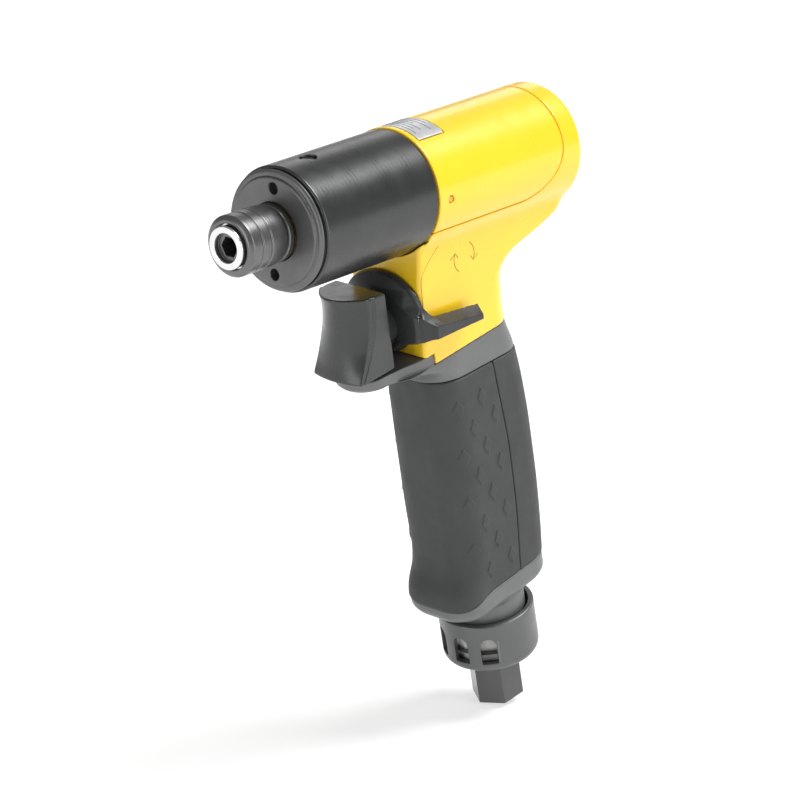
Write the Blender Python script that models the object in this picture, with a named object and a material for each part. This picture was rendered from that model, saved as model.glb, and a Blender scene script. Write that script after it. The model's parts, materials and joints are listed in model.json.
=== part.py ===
"""Pistol-grip air impact wrench with a quarter-inch quick-change chuck, as separate pieces.

Frame: +X forward along the spindle (the nose), +Y the tool's left, +Z up. The origin is the centre
of the bounding box's bottom. Lengths below are millimetres until add() turns them into metres.
Three working frames carry the pieces:
  SPINDLE  on the spindle axis at the hammer case's front edge, X forward
  HANDLE   on the handle axis where it crosses the spindle axis, Z up the raked handle
  TRIGGER  on the trigger stem's axis at the neck's front face, X forward along the stem
"""

import math

import bmesh
import bpy
from mathutils import Matrix, Vector

MM = 0.001
GAP = 0.3  # clearance between pieces that touch

# Driving dimensions: where the working frames stand
SPINDLE_HEIGHT = 210.45  # spindle axis above the inlet's lowest corner
CASE_FRONT = 54.15  # hammer case's front edge ahead of the origin
HANDLE_CROSSING = -73.05  # where the handle axis crosses the spindle axis
RAKE = math.radians(11.26)  # handle's lean, foot backwards
STEM_X = -54.4
STEM_Z = -45.5
STEM_TILT = math.radians(7.0)

# Barrel, stations along the spindle
CASE_R = 22.0
CASE_REAR = -56.0
CASE_BORE = 19.5
NOSE_FACE = 3.1
NOSE_JOINT = 0.3
HOUSING_R = 22.4
HOUSING_FRONT = -56.4
HOUSING_REAR = -134.8
HOUSING_BORE = 19.8
SEAM_DROP = -11.5
SEAM_CENTRE = (-103.0, 8.5)
SEAM_SEMI = (21.0, 20.0)
PORT_X = -14.3
PIN_X = -62.4
LABEL_X = (-72.0, -59.0)
LABEL_HALF_ANGLE = math.radians(28.0)

# Chuck
ANVIL_FACE = 26.5
ANVIL_LIP_R = 7.54
SHANK_R = 6.3
SLEEVE_R = 10.7
SLEEVE_FRONT = 24.8
SLEEVE_REAR = 6.6
HEX_SOCKET = 6.35  # across flats
BALL_R = 1.7
BALL_X = 14.0
BALL_SEAT = 4.75  # ball centre's distance from the axis, locked

# Hammer unit
CAGE_R = 18.9
HAMMER_R = 16.2
HAMMER_BORE = 9.3
PIN_OFFSET = 13.0
PIN_R = 1.6

# Air motor
ROTOR_R = 13.7
SHAFT_R = 4.0
CYLINDER_BORE = 15.6
CYLINDER_LIFT = 1.5
MOTOR_R = 19.4
VANES = 5
MOTOR_SPAN = (-103.7, -62.3)
BEARING_BALLS = 6
BALL_PITCH_R = 7.1
BEARING_BALL_R = 1.1

# Handle, stations down the handle axis
COLLAR_TOP = 57.5
SHELF_TOP = 53.5
SHELF_STEP_U = 23.6
SHELF_FRONT_U = 53.2
SHELF_NOSE_R = 11.2
GRIP_TOP = 69.7
GRIP_BOTTOM = 160.0
GRIP_SLOPE = 0.1
GRIP_WALL = 4.2
GRIP_HALF_WIDTH = 16.6
NECK_HALF_WIDTH = 16.0
NECK_TOE_Z = -61.8
CAP_BOTTOM = 166.4
RING_TOP = 173.3
RING_BOTTOM = 193.2
RING_R = 17.8
HEX_BOTTOM = 212.5
HEX_FLATS = 17.0
WINDOWS = 5
WINDOW_PITCH = math.radians(36.0)
WINDOW_FIRST = math.radians(40.0)

BIG, MEDIUM, SMALL = 40, 28, 16  # sides of a turned piece, by its size

SPINDLE = Matrix.Translation(Vector((CASE_FRONT, 0, SPINDLE_HEIGHT)) * MM)
HANDLE = SPINDLE @ Matrix.Translation(Vector((HANDLE_CROSSING, 0, 0)) * MM) @ Matrix.Rotation(RAKE, 4, "Y")
TRIGGER = SPINDLE @ Matrix.Translation(Vector((STEM_X, 0, STEM_Z)) * MM) @ Matrix.Rotation(STEM_TILT, 4, "Y")


# ---------------------------------------------------------------- materials

FINISHES = {
    "yellow_shell": ((0.86, 0.74, 0.03), 0.28, 0.0),
    "black_case": ((0.035, 0.036, 0.038), 0.38, 0.6),
    "dark_steel": ((0.13, 0.13, 0.135), 0.35, 0.9),
    "bright_steel": ((0.75, 0.75, 0.76), 0.2, 1.0),
    "bronze": ((0.55, 0.38, 0.2), 0.4, 1.0),
    "cast_alloy": ((0.25, 0.25, 0.26), 0.5, 0.5),
    "grip_rubber": ((0.09, 0.095, 0.092), 0.75, 0.0),
    "black_plastic": ((0.045, 0.045, 0.047), 0.5, 0.0),
    "trigger_plastic": ((0.1, 0.1, 0.102), 0.42, 0.0),
    "vane_composite": ((0.28, 0.2, 0.12), 0.7, 0.0),
    "label_foil": ((0.78, 0.78, 0.78), 0.3, 0.7),
    "felt": ((0.62, 0.62, 0.6), 0.9, 0.0),
    "seal_rubber": ((0.03, 0.03, 0.03), 0.6, 0.0),
}


def make_material(name):
    """One Principled material from the finishes above."""
    colour, roughness, metallic = FINISHES[name]
    made = bpy.data.materials.new(name)
    made.use_nodes = True
    shader = made.node_tree.nodes["Principled BSDF"]
    shader.inputs["Base Color"].default_value = (*colour, 1.0)
    shader.inputs["Roughness"].default_value = roughness
    shader.inputs["Metallic"].default_value = metallic
    return made


# ---------------------------------------------------------------- shape tools


def clear_scene():
    for obj in list(bpy.data.objects):
        bpy.data.objects.remove(obj, do_unlink=True)


def add(name, bm, frame, finish=None):
    """Makes the object: its mesh in the frame's own coordinates, its origin on the frame's axis."""
    bmesh.ops.recalc_face_normals(bm, faces=bm.faces)
    bmesh.ops.scale(bm, vec=(MM, MM, MM), verts=bm.verts)
    mesh = bpy.data.meshes.new(name)
    bm.to_mesh(mesh)
    bm.free()
    mesh.shade_smooth()
    mesh.set_sharp_from_angle(angle=math.radians(35))
    obj = bpy.data.objects.new(name, mesh)
    bpy.context.scene.collection.objects.link(obj)
    obj.matrix_world = frame
    if finish:
        mesh.materials.append(make_material(finish))
    return obj


def boolean(target, tool, operation="DIFFERENCE"):
    """Cuts, joins or keeps the common part, and hides the tool from renders."""
    modifier = target.modifiers.new(tool.name, "BOOLEAN")
    modifier.operation = operation
    modifier.object = tool
    tool.hide_render = True
    tool.display_type = "WIRE"


def turned(outline, axis="X", sides=MEDIUM, centre=(0.0, 0.0), phase=0.0):
    """A closed outline of (station, radius) turned about the frame's X or Z axis, moved aside by centre.

    Phase turns the facets by a part of one side, so that the corners of crossing pieces don't line up.
    """
    bm = bmesh.new()
    rings = []
    for station, radius in outline:
        count = 1 if radius < 1e-6 else sides
        ring = []
        for k in range(count):
            angle = 2 * math.pi * (k + phase) / sides
            across = centre[0] + radius * math.cos(angle)
            up = centre[1] + radius * math.sin(angle)
            place = (station, across, up) if axis == "X" else (across, up, station)
            ring.append(bm.verts.new(place))
        rings.append(ring)
    for near, far in zip(rings, rings[1:] + rings[:1]):
        join_rings(bm, near, far)
    return bm


def join_rings(bm, near, far):
    """Faces between two rings of vertices, either of which may be a single point on the axis."""
    count = max(len(near), len(far))
    if count == 1:
        return
    for k in range(count):
        m = (k + 1) % count
        if len(near) == 1:
            bm.faces.new((near[0], far[k], far[m]))
        elif len(far) == 1:
            bm.faces.new((near[k], far[0], near[m]))
        else:
            bm.faces.new((near[k], far[k], far[m], near[m]))


def rod(low, high, radius, axis="X", sides=SMALL, centre=(0.0, 0.0), phase=0.3):
    """A plain cylinder from one station to another."""
    return turned([(low, 0), (low, radius), (high, radius), (high, 0)], axis, sides, centre, phase)


def tube(low, high, inner, outer, axis="X", sides=MEDIUM, chamfer=0.0):
    """A ring with a chamfer on its outer edges."""
    outline = [(low, inner), (high, inner), (high, outer - chamfer)]
    if chamfer:
        outline.append((high - chamfer, outer))
        outline.append((low + chamfer, outer))
    outline.append((low, outer - chamfer))
    return turned(outline, axis, sides)


def torus(station, major, minor, axis="X", sides=MEDIUM, around=8):
    """A ring of round section, such as an O-ring."""
    outline = []
    for k in range(around):
        angle = 2 * math.pi * k / around
        outline.append((station + minor * math.sin(angle), major + minor * math.cos(angle)))
    return turned(outline, axis, sides)


def lofted(rings):
    """A solid through rings of points with equal counts, with flat ends."""
    bm = bmesh.new()
    made = [[bm.verts.new(point) for point in ring] for ring in rings]
    for near, far in zip(made, made[1:]):
        join_rings(bm, near, far)
    bm.faces.new(made[0])
    bm.faces.new(made[-1])
    return bm


def prism(outline, low, high):
    """An outline of (x, z) carried along Y from low to high."""
    return lofted([[(x, low, z) for x, z in outline], [(x, high, z) for x, z in outline]])


def block(x_span, y_span, z_span):
    """A box between three pairs of limits."""
    (x0, x1), (z0, z1) = x_span, z_span
    return prism([(x0, z0), (x1, z0), (x1, z1), (x0, z1)], *y_span)


def merged(shapes):
    """Several meshes as one, for a tool that cuts in several places."""
    bm = bmesh.new()
    for shape in shapes:
        scratch = bpy.data.meshes.new("scratch")
        shape.to_mesh(scratch)
        shape.free()
        bm.from_mesh(scratch)
        bpy.data.meshes.remove(scratch)
    return bm


def turned_about_x(bm, angle, centre=(0.0, 0.0, 0.0)):
    """The same mesh turned about an X line through centre."""
    bmesh.ops.rotate(bm, cent=centre, matrix=Matrix.Rotation(angle, 3, "X"), verts=bm.verts)
    return bm


def rounded_box(back, front, half_width, back_radius, front_radius, steps=5):
    """Points of (x, y) round a box with rounded corners, anticlockwise seen from above."""
    corners = (
        (front - front_radius, half_width - front_radius, front_radius, 0),
        (back + back_radius, half_width - back_radius, back_radius, 1),
        (back + back_radius, back_radius - half_width, back_radius, 2),
        (front - front_radius, front_radius - half_width, front_radius, 3),
    )
    points = []
    for x, y, radius, quarter in corners:
        for k in range(steps + 1):
            angle = math.pi / 2 * (quarter + k / steps)
            points.append((x + radius * math.cos(angle), y + radius * math.sin(angle)))
    return points


def coil(start, end, radius, wire, turns, steps=10, around=5):
    """A compression spring along X: a round wire wound on a helix, with flat ends."""
    rings = []
    count = int(turns * steps)
    low, high = start + wire, end - wire
    for k in range(count + 1):
        angle = 2 * math.pi * k / steps
        outward = Vector((0, math.cos(angle), math.sin(angle)))
        centre = outward * radius + Vector((low + (high - low) * k / count, 0, 0))
        ring = []
        for j in range(around):
            tilt = 2 * math.pi * j / around
            ring.append(centre + outward * (wire * math.cos(tilt)) + Vector((wire * math.sin(tilt), 0, 0)))
        rings.append(ring)
    return lofted(rings)


def arc_plate(x_span, radii, half_angle, steps=8):
    """A curved plate on top of the barrel, between two radii and two stations."""
    (x0, x1), (r0, r1) = x_span, radii
    rings = []
    for k in range(steps + 1):
        angle = math.pi / 2 - half_angle + 2 * half_angle * k / steps
        y, z = math.cos(angle), math.sin(angle)
        rings.append([(x0, r0 * y, r0 * z), (x1, r0 * y, r0 * z), (x1, r1 * y, r1 * z), (x0, r1 * y, r1 * z)])
    return lofted(rings)


def ball_mesh(centre, radius):
    """A small faceted ball."""
    bm = bmesh.new()
    bmesh.ops.create_icosphere(bm, subdivisions=2, radius=radius, matrix=Matrix.Translation(centre))
    return bm


# ---------------------------------------------------------------- chuck and nose


def make_anvil():
    """Output spindle: bit socket, ball hole, journal, flange and the two dogs that the hammers strike."""
    outline = [
        (ANVIL_FACE, 0), (ANVIL_FACE, ANVIL_LIP_R), (24.0, ANVIL_LIP_R), (23.7, SHANK_R), (6.0, SHANK_R),
        (6.0, 9.6), (3.6, 10.9), (3.4, 7.0), (-9.5, 7.0), (-9.5, 9.0), (-12.6, 9.0), (-12.6, 5.5),
        (-44.5, 5.5), (-44.5, 3.6), (-47.5, 3.6), (-47.5, 0),
    ]
    anvil = add("anvil", turned(outline, sides=24), SPINDLE, "dark_steel")
    dogs = [block((-30, -18), (3, 8.0), (-2.8, 2.8)), block((-44.2, -31.6), (-8.0, -3), (-2.8, 2.8))]
    boolean(anvil, add("anvil_dogs", merged(dogs), SPINDLE), "UNION")
    boolean(anvil, add("anvil_counterbore", rod(24.6, 28, 5.1, sides=24), SPINDLE))
    corner = HEX_SOCKET / math.sqrt(3)
    boolean(anvil, add("anvil_hex", rod(-2, 25, corner, sides=6, phase=0.0), SPINDLE))
    boolean(anvil, add("anvil_ball_hole", rod(2.0, 8.0, BALL_R + 0.25, axis="Z", centre=(BALL_X, 0)), SPINDLE))


def make_chuck():
    """Spring-loaded sleeve, its spring, the ring that stops it and the ball that it locks."""
    outline = [
        (SLEEVE_FRONT, 7.95), (SLEEVE_FRONT, SLEEVE_R - 0.4), (SLEEVE_FRONT - 0.4, SLEEVE_R),
        (SLEEVE_REAR, SLEEVE_R),
        (SLEEVE_REAR, 8.2), (12.9, 6.75), (15.2, 6.75), (15.2, 9.3), (23.5, 9.3), (23.5, 7.95),
    ]
    add("chuck_sleeve", turned(outline), SPINDLE, "dark_steel")
    add("chuck_ring", tube(21.7, 23.2, 6.6, 9.0), SPINDLE, "bright_steel")
    add("chuck_spring", coil(15.5, 21.4, 8.0, 0.4, 3), SPINDLE, "bright_steel")
    add("detent_ball", ball_mesh((BALL_X, 0, BALL_SEAT), BALL_R), SPINDLE, "bright_steel")


def make_nose():
    """Screwed nose cap with two spanner holes, the spindle's bush and the seal behind the cap."""
    outline = [
        (NOSE_FACE, 10.1), (NOSE_FACE, 18.6), (2.6, 19.2), (1.4, 21.0), (NOSE_JOINT, 21.3),
        (NOSE_JOINT, 19.2), (-12.0, 19.2), (-12.0, 16.4), (-9.3, 16.4), (-9.3, 10.1),
    ]
    cap = add("nose_cap", turned(outline, sides=BIG), SPINDLE, "black_case")
    holes = [rod(-0.5, 4, 2.0, centre=(0, 15.07)), rod(-0.5, 4, 2.0, centre=(0, -15.07))]
    boolean(cap, add("spanner_holes", merged(holes), SPINDLE))
    add("nose_bush", tube(-9.2, 3.0, 7.3, 9.8), SPINDLE, "bronze")
    add("nose_seal", torus(-0.75, 20.3, 0.55, sides=BIG, around=4), SPINDLE, "seal_rubber")


def make_hammer_case():
    """Black tube round the hammers, with the grease port on top."""
    front = NOSE_JOINT - GAP
    seal_seat = front - 1.6
    outline = [
        (front, 21.7), (front - 0.4, CASE_R), (CASE_REAR, CASE_R), (CASE_REAR, CASE_BORE), (seal_seat, CASE_BORE),
        (seal_seat, 21.1), (front, 21.1),
    ]
    case = add("hammer_case", turned(outline, sides=BIG), SPINDLE, "black_case")
    boolean(case, add("grease_port", rod(15, 25, 3.0, axis="Z", centre=(PORT_X, 0)), SPINDLE))
    plug = rod(19.9, 21.0, 2.7, axis="Z", centre=(PORT_X, 0))
    add("grease_plug", plug, SPINDLE, "dark_steel")


# ---------------------------------------------------------------- hammer unit


def make_hammer_cage():
    """Two plates joined by two bars: it carries the hammer pins and turns with the rotor."""
    outline = [(-14.0, 6.0), (-14.0, CAGE_R), (-50.5, CAGE_R), (-50.5, 4.4), (-45.2, 4.4)]
    outline += [(-45.2, 17.2), (-17.0, 17.2), (-17.0, 6.0)]
    cage = add("hammer_cage", turned(outline), SPINDLE, "dark_steel")
    gaps = [block((-45.0, -17.2), (-11, 11), (8, 25)), block((-45.0, -17.2), (-11, 11), (-25, -8))]
    boolean(cage, add("cage_windows", merged(gaps), SPINDLE))
    holes = [rod(-52, -12, PIN_R + GAP, centre=(0, z)) for z in (PIN_OFFSET, -PIN_OFFSET)]
    boolean(cage, add("cage_pin_holes", merged(holes), SPINDLE))
    for name, z in (("hammer_pin_upper", PIN_OFFSET), ("hammer_pin_lower", -PIN_OFFSET)):
        add(name, rod(-50.3, -14.2, PIN_R, centre=(0, z)), SPINDLE, "bright_steel")


def make_hammer(name, span, pin_z, lug_side):
    """A ring that rocks on its pin: a lug inside strikes the anvil's dog, and a notch clears the other pin."""
    frame = SPINDLE @ Matrix.Translation(Vector((0, 0, pin_z)) * MM)
    low, high = span
    side = math.copysign(1.0, pin_z)
    shape = turned([(low, HAMMER_BORE), (low, HAMMER_R), (high, HAMMER_R), (high, HAMMER_BORE)], centre=(0, -pin_z))
    hammer = add(name, shape, frame, "dark_steel")
    lug_span = (6.6, HAMMER_BORE + 1.0) if lug_side > 0 else (-HAMMER_BORE - 1.0, -6.6)
    lug = block((low + 0.6, high - 0.6), lug_span, (-pin_z - 2.6, -pin_z + 2.6))
    boolean(hammer, add(name + "_lug", lug, frame), "UNION")
    boolean(hammer, add(name + "_pivot", rod(low - 1, high + 1, PIN_R + GAP), frame))
    notch_z = sorted((-pin_z - side * 10.9, -pin_z - side * 20.0))
    boolean(hammer, add(name + "_notch", block((low - 1, high + 1), (-3.4, 3.4), notch_z), frame))


def make_hammers():
    make_hammer("hammer_front", (-30.6, -17.4), PIN_OFFSET, -1)
    make_hammer("hammer_rear", (-44.8, -31.0), -PIN_OFFSET, 1)


# ---------------------------------------------------------------- air motor


def make_bearing(name, low, high):
    """Ball bearing: outer race, inner race, and a cage with its balls."""
    middle = (low + high) / 2
    add(name + "_outer_race", tube(low, high, 8.5, 9.8, sides=24), SPINDLE, "bright_steel")
    add(name + "_inner_race", tube(low, high, SHAFT_R + GAP, 5.7, sides=18), SPINDLE, "bright_steel")
    cage = add(name + "_ball_cage", tube(middle - 0.7, middle + 0.7, 6.7, 7.5, sides=3 * BEARING_BALLS), SPINDLE, "bronze")
    balls = []
    for k in range(BEARING_BALLS):
        angle = 2 * math.pi * k / BEARING_BALLS
        balls.append(ball_mesh((middle, BALL_PITCH_R * math.cos(angle), BALL_PITCH_R * math.sin(angle)), BEARING_BALL_R))
    boolean(cage, add(name + "_balls", merged(balls), SPINDLE), "UNION")


def make_motor():
    """Vane motor: eccentric cylinder between two end plates, slotted rotor and its vanes."""
    rear, front = MOTOR_SPAN
    plate = [(front + 0.6, 8.9), (front + 0.6, MOTOR_R), (front + 5.5, MOTOR_R), (front + 5.5, 10.1), (front + 1.2, 10.1)]
    plate += [(front + 1.2, 8.9)]
    add("front_end_plate", turned(plate, sides=24), SPINDLE, "cast_alloy")
    make_bearing("front_bearing", front + 1.4, front + 5.4)
    plate = [(rear - 0.6, 8.9), (rear - 0.6, MOTOR_R), (rear - 5.8, MOTOR_R), (rear - 5.8, 10.1), (rear - 1.2, 10.1)]
    plate += [(rear - 1.2, 8.9)]
    add("rear_end_plate", turned(plate, sides=24), SPINDLE, "cast_alloy")
    make_bearing("rear_bearing", rear - 5.4, rear - 1.4)

    cylinder = add("motor_cylinder", rod(rear - 0.3, front + 0.3, MOTOR_R, sides=MEDIUM), SPINDLE, "cast_alloy")
    bore = rod(rear - 2, front + 2, CYLINDER_BORE, sides=MEDIUM, centre=(0, CYLINDER_LIFT))
    boolean(cylinder, add("cylinder_bore", bore, SPINDLE))
    ports = [block((x - 4, x + 4), (y - 2.5, y + 2.5), (-25, -8)) for x in (-74, -90) for y in (-7, 7)]
    boolean(cylinder, add("cylinder_ports", merged(ports), SPINDLE))

    outline = [(rear, 0), (rear, ROTOR_R), (front, ROTOR_R), (front, SHAFT_R), (-48.2, SHAFT_R), (-48.2, 0)]
    outline[1:1] = [(rear - 6.5, 0), (rear - 6.5, SHAFT_R), (rear, SHAFT_R)]
    rotor = add("rotor", turned(outline[1:], sides=MEDIUM), SPINDLE, "dark_steel")
    slots = []
    for k in range(VANES):
        angle = 2 * math.pi * k / VANES
        slots.append(turned_about_x(block((rear - 1, front + 1), (-1.1, 1.1), (6.9, 20)), angle))
        vane = turned_about_x(block((rear + 0.3, front - 0.3), (-0.8, 0.8), (7.3, 13.9)), angle)
        add(f"vane_{k + 1}", vane, SPINDLE, "vane_composite")
    boolean(rotor, add("rotor_slots", merged(slots), SPINDLE))

    add("rear_gasket", tube(rear - 6.9, rear - 6.1, 12.0, 19.3, sides=24), SPINDLE, "seal_rubber")
    add("rear_spacer", tube(HOUSING_REAR + 3.3, rear - 7.2, 16.5, 19.3, sides=24), SPINDLE, "cast_alloy")


# ---------------------------------------------------------------- yellow shells


def seam_region(shift):
    """Everything above the seam: level along the barrel's sides, then curving up over the rear."""
    outline = [(-40, 40), (-40, SEAM_DROP)]
    steps = 10
    for k in range(steps + 1):
        angle = math.pi / 2 * k / steps
        x = SEAM_CENTRE[0] - SEAM_SEMI[0] * math.sin(angle)
        z = SEAM_CENTRE[1] - SEAM_SEMI[1] * math.cos(angle)
        outline.append((x, z))
    outline.append((outline[-1][0], 40))
    return prism([(x + shift, z + shift) for x, z in outline], -40, 40)


def barrel_outline():
    """Closed barrel with a rounded rear edge."""
    rear, radius = HOUSING_REAR, HOUSING_R
    return [(HOUSING_FRONT, 0), (HOUSING_FRONT, radius), (rear + 3.0, radius), (rear + 0.9, radius - 0.8),
            (rear, radius - 2.6), (rear, 0)]


def make_motor_housing():
    """Upper yellow shell over the motor, with a shallow seat for the plate on top."""
    shell = add("motor_housing", turned(barrel_outline(), sides=BIG), SPINDLE, "yellow_shell")
    bore = add("housing_bore", rod(HOUSING_REAR + 3.0, -50, HOUSING_BORE, sides=BIG), SPINDLE)
    boolean(shell, bore)
    boolean(shell, add("above_seam", seam_region(GAP / 2), SPINDLE), "INTERSECT")
    seat = arc_plate((LABEL_X[0] - GAP, LABEL_X[1] + GAP), (HOUSING_R - 0.5, 24.0), LABEL_HALF_ANGLE + 0.015)
    boolean(shell, add("label_seat", seat, SPINDLE))
    hole = rod(15, 25, 1.4, axis="Z", centre=(PIN_X, 0))
    bmesh.ops.rotate(hole, cent=(0, 0, 0), matrix=Matrix.Rotation(-math.pi / 2, 3, "X"), verts=hole.verts)
    boolean(shell, add("pin_hole", hole, SPINDLE))
    pin = rod(20.2, 21.9, 1.1, axis="Z", centre=(PIN_X, 0))
    add("locating_pin", turned_about_x(pin, -math.pi / 2), SPINDLE, "bronze")
    plate = arc_plate(LABEL_X, (HOUSING_R - 0.2, HOUSING_R + 0.1), LABEL_HALF_ANGLE)
    add("label_plate", plate, SPINDLE, "label_foil")
    return bore


def neck_rings():
    """Level sections down the neck, then one on the slanted joint with the handle frame."""
    slope = math.tan(STEM_TILT)

    def front(z):
        return STEM_X + (z - STEM_Z) * slope

    levels = (
        (-8.0, -56.6, HOUSING_REAR + 1.0, 6.0),
        (-17.0, -54.9, HOUSING_REAR + 0.8, 6.5),
        (-21.7, front(-21.7), -130.5, 8.0),
        (-25.0, front(-25.0), -122.2, 8.5),
        (-29.3, front(-29.3), -109.4, 9.0),
        (-31.8, front(-31.8), -105.3, 9.0),
        (-35.5, front(-35.5), -102.6, 9.0),
        (-41.0, front(-41.0), -102.0, 9.5),
    )
    rings = []
    for z, x_front, x_back, radius in levels:
        section = rounded_box(x_back, x_front, NECK_HALF_WIDTH, radius, 1.6)
        rings.append([(x, y, z) for x, y in section])
    joint = COLLAR_TOP - GAP
    ring = []
    for x, y in rounded_box(-103.8, front(NECK_TOE_Z), NECK_HALF_WIDTH, 11.0, 1.6):
        z = -(joint + (x - HANDLE_CROSSING) * math.sin(RAKE)) / math.cos(RAKE)
        ring.append((x, y, z))
    rings.append(ring)
    return rings


def make_handle_housing(bore):
    """Lower yellow shell: the barrel's underside and rear cap in one with the neck."""
    shell = add("handle_housing", turned(barrel_outline(), sides=BIG), SPINDLE, "yellow_shell")
    boolean(shell, add("neck", lofted(neck_rings()), SPINDLE), "UNION")
    boolean(shell, bore)
    boolean(shell, add("below_seam", seam_region(-GAP / 2), SPINDLE))
    boolean(shell, add("case_seat", rod(HOUSING_FRONT, -40, CASE_R + GAP, sides=BIG), SPINDLE))
    step = block((SHELF_STEP_U - GAP, 60), (-30, 30), (-80, -(SHELF_TOP - GAP)))
    boolean(shell, add("shelf_step", step, HANDLE))
    boolean(shell, add("valve_bore", rod(-36, 5, 8.7, sides=24), TRIGGER))
    passages = [rod(-70, -12, 4.4, axis="Z"), rod(-70, -12, 3.0, axis="Z", centre=(-13.0, 0))]
    boolean(shell, add("air_passages", merged(passages), HANDLE))


# ---------------------------------------------------------------- handle


def grip_section(station, inset=0.0):
    """Level of the grip at a station down the handle: back and front of the outline, then its half-width."""
    backs = ((70, -23.8), (80, -25.2), (98, -26.2), (125, -26.0), (144, -24.9), (160, -23.2))
    fronts = ((70, 22.3), (98, 23.0), (125, 23.4), (142, 23.0), (149, 24.2), (155, 28.0), (160, 28.6))
    return between(backs, station) + inset, between(fronts, station) - inset, GRIP_HALF_WIDTH - inset


def between(pairs, station):
    """Straight-line reading of a list of (station, value)."""
    if station <= pairs[0][0]:
        return pairs[0][1]
    for (s0, v0), (s1, v1) in zip(pairs, pairs[1:]):
        if station <= s1:
            return v0 + (v1 - v0) * (station - s0) / (s1 - s0)
    return pairs[-1][1]


def slanted(section, station):
    """Points of a section at a station, on planes that lean less towards the foot."""
    lean = GRIP_SLOPE * (GRIP_BOTTOM - station) / (GRIP_BOTTOM - GRIP_TOP)
    return [(u, y, -station + lean * u) for u, y in section]


def grip_rings(top, bottom, inset=0.0, radius=11.5):
    stations = [top] + [s for s in (80, 98, 112, 125, 136, 142, 149, 152, 155) if top < s < bottom] + [bottom]
    rings = []
    for station in stations:
        back, front, half_width = grip_section(station, inset)
        rings.append(slanted(rounded_box(back, front, half_width, radius, radius), station))
    return rings


def seam_strip(shift):
    """The part of the grip behind the seam of its back strip."""
    seam = ((60, -4.2), (75, -4.9), (103, -7.1), (130, -6.5), (157, -3.8), (170, -2.6))
    outline = [(u + shift, -s) for s, u in seam]
    return prism(outline + [(-60, -170), (-60, -60)], -40, 40)


def shelf_plan(inset=0.0, steps=10):
    """The shelf seen from above: its sides close in towards a round front."""
    nose_r = SHELF_NOSE_R - inset
    centre = SHELF_FRONT_U - SHELF_NOSE_R
    half = [(SHELF_STEP_U, 15.7), (31.0, 14.2 - inset / 2), (37.0, 12.2 - inset)]
    nose = []
    for k in range(steps + 1):
        angle = math.radians(75) * (1 - 2 * k / steps)
        nose.append((centre + nose_r * math.cos(angle), nose_r * math.sin(angle)))
    return half + nose + [(u, -y) for u, y in reversed(half)]


def make_handle_frame():
    """Cast frame: collar under the neck, shelf under the trigger, and the core inside the grip."""
    levels = (
        (COLLAR_TOP, -20.2, 44.0, 15.6, 10.0, 12.0),
        (59.0, -20.5, 37.5, 15.7, 10.0, 12.0),
        (61.4, -21.0, 31.5, 15.8, 10.0, 11.5),
        (64.0, -21.6, 26.5, 16.0, 10.5, 11.5),
        (67.0, -22.4, 23.4, 16.1, 11.0, 11.5),
    )
    rings = []
    for station, back, front, half_width, back_radius, front_radius in levels:
        section = rounded_box(back, front, half_width, back_radius, front_radius)
        rings.append([(u, y, -station) for u, y in section])
    back, front, half_width = grip_section(GRIP_TOP, 0.5)
    rings.append(slanted(rounded_box(back, front, half_width, 11.0, 11.5), GRIP_TOP))
    for station in (GRIP_TOP, 98, 125, GRIP_BOTTOM - GAP):
        back, front, half_width = grip_section(min(station, 140), GRIP_WALL)
        rings.append(slanted(rounded_box(back, front, half_width, 8.0, 8.0), station))
    frame = add("handle_frame", lofted(rings), HANDLE, "cast_alloy")
    shelf = [[(u, y, -SHELF_TOP - drop) for u, y in shelf_plan(inset)] for drop, inset in ((0, 0), (1.8, 0), (4.8, 3.0))]
    boolean(frame, add("shelf", lofted(shelf), HANDLE), "UNION")
    boolean(frame, add("frame_bore", rod(-170, -50, 8.8, axis="Z", sides=24), HANDLE))
    boolean(frame, add("exhaust_way", block((-16.5, 0), (-3.5, 3.5), (-67, -50)), HANDLE))


def make_grips():
    """Two-piece rubber grip round the core, parted along its back strip."""
    core = add("core_space", lofted(core_space_rings()), HANDLE)
    strip_cut = add("strip_cut", seam_strip(GAP / 2), HANDLE)
    strip_keep = add("strip_keep", seam_strip(-GAP / 2), HANDLE)
    sleeve = add("grip_sleeve", lofted(grip_rings(GRIP_TOP + GAP, GRIP_BOTTOM)), HANDLE, "grip_rubber")
    boolean(sleeve, core)
    boolean(sleeve, strip_cut)
    back = add("grip_back", lofted(grip_rings(GRIP_TOP + GAP, GRIP_BOTTOM)), HANDLE, "grip_rubber")
    boolean(back, core)
    boolean(back, strip_keep, "INTERSECT")


def core_space_rings():
    """The core's outline with clearance, running past both ends of the grip."""
    rings = []
    for station in (GRIP_TOP - 12, 98, 125, GRIP_BOTTOM + 12):
        back, front, half_width = grip_section(min(max(station, GRIP_TOP), 140), GRIP_WALL - GAP)
        section = rounded_box(back, front, half_width, 8.0, 8.0)
        rings.append(slanted(section, station))
    return rings


def make_base_cap():
    """Cast cap under the grip, with a round spigot that carries the exhaust ring."""
    top, bottom = GRIP_BOTTOM + GAP, CAP_BOTTOM
    rings = []
    for station, inset in ((top, 0.3), (bottom - 2.0, 0.9), (bottom, 2.9)):
        back, front, half_width = grip_section(GRIP_BOTTOM, inset)
        rings.append([(u, y, -station) for u, y in rounded_box(back, front - 1.5, half_width, 10.5, 11.0)])
    cap = add("base_cap", lofted(rings), HANDLE, "cast_alloy")
    boolean(cap, add("cap_spigot", rod(-RING_TOP - 1.5, -top - 0.5, 14.7, axis="Z", sides=MEDIUM), HANDLE), "UNION")
    boolean(cap, add("cap_bore", rod(-RING_TOP - 3, -top + 2, 9.4, axis="Z", sides=24), HANDLE))


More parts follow.
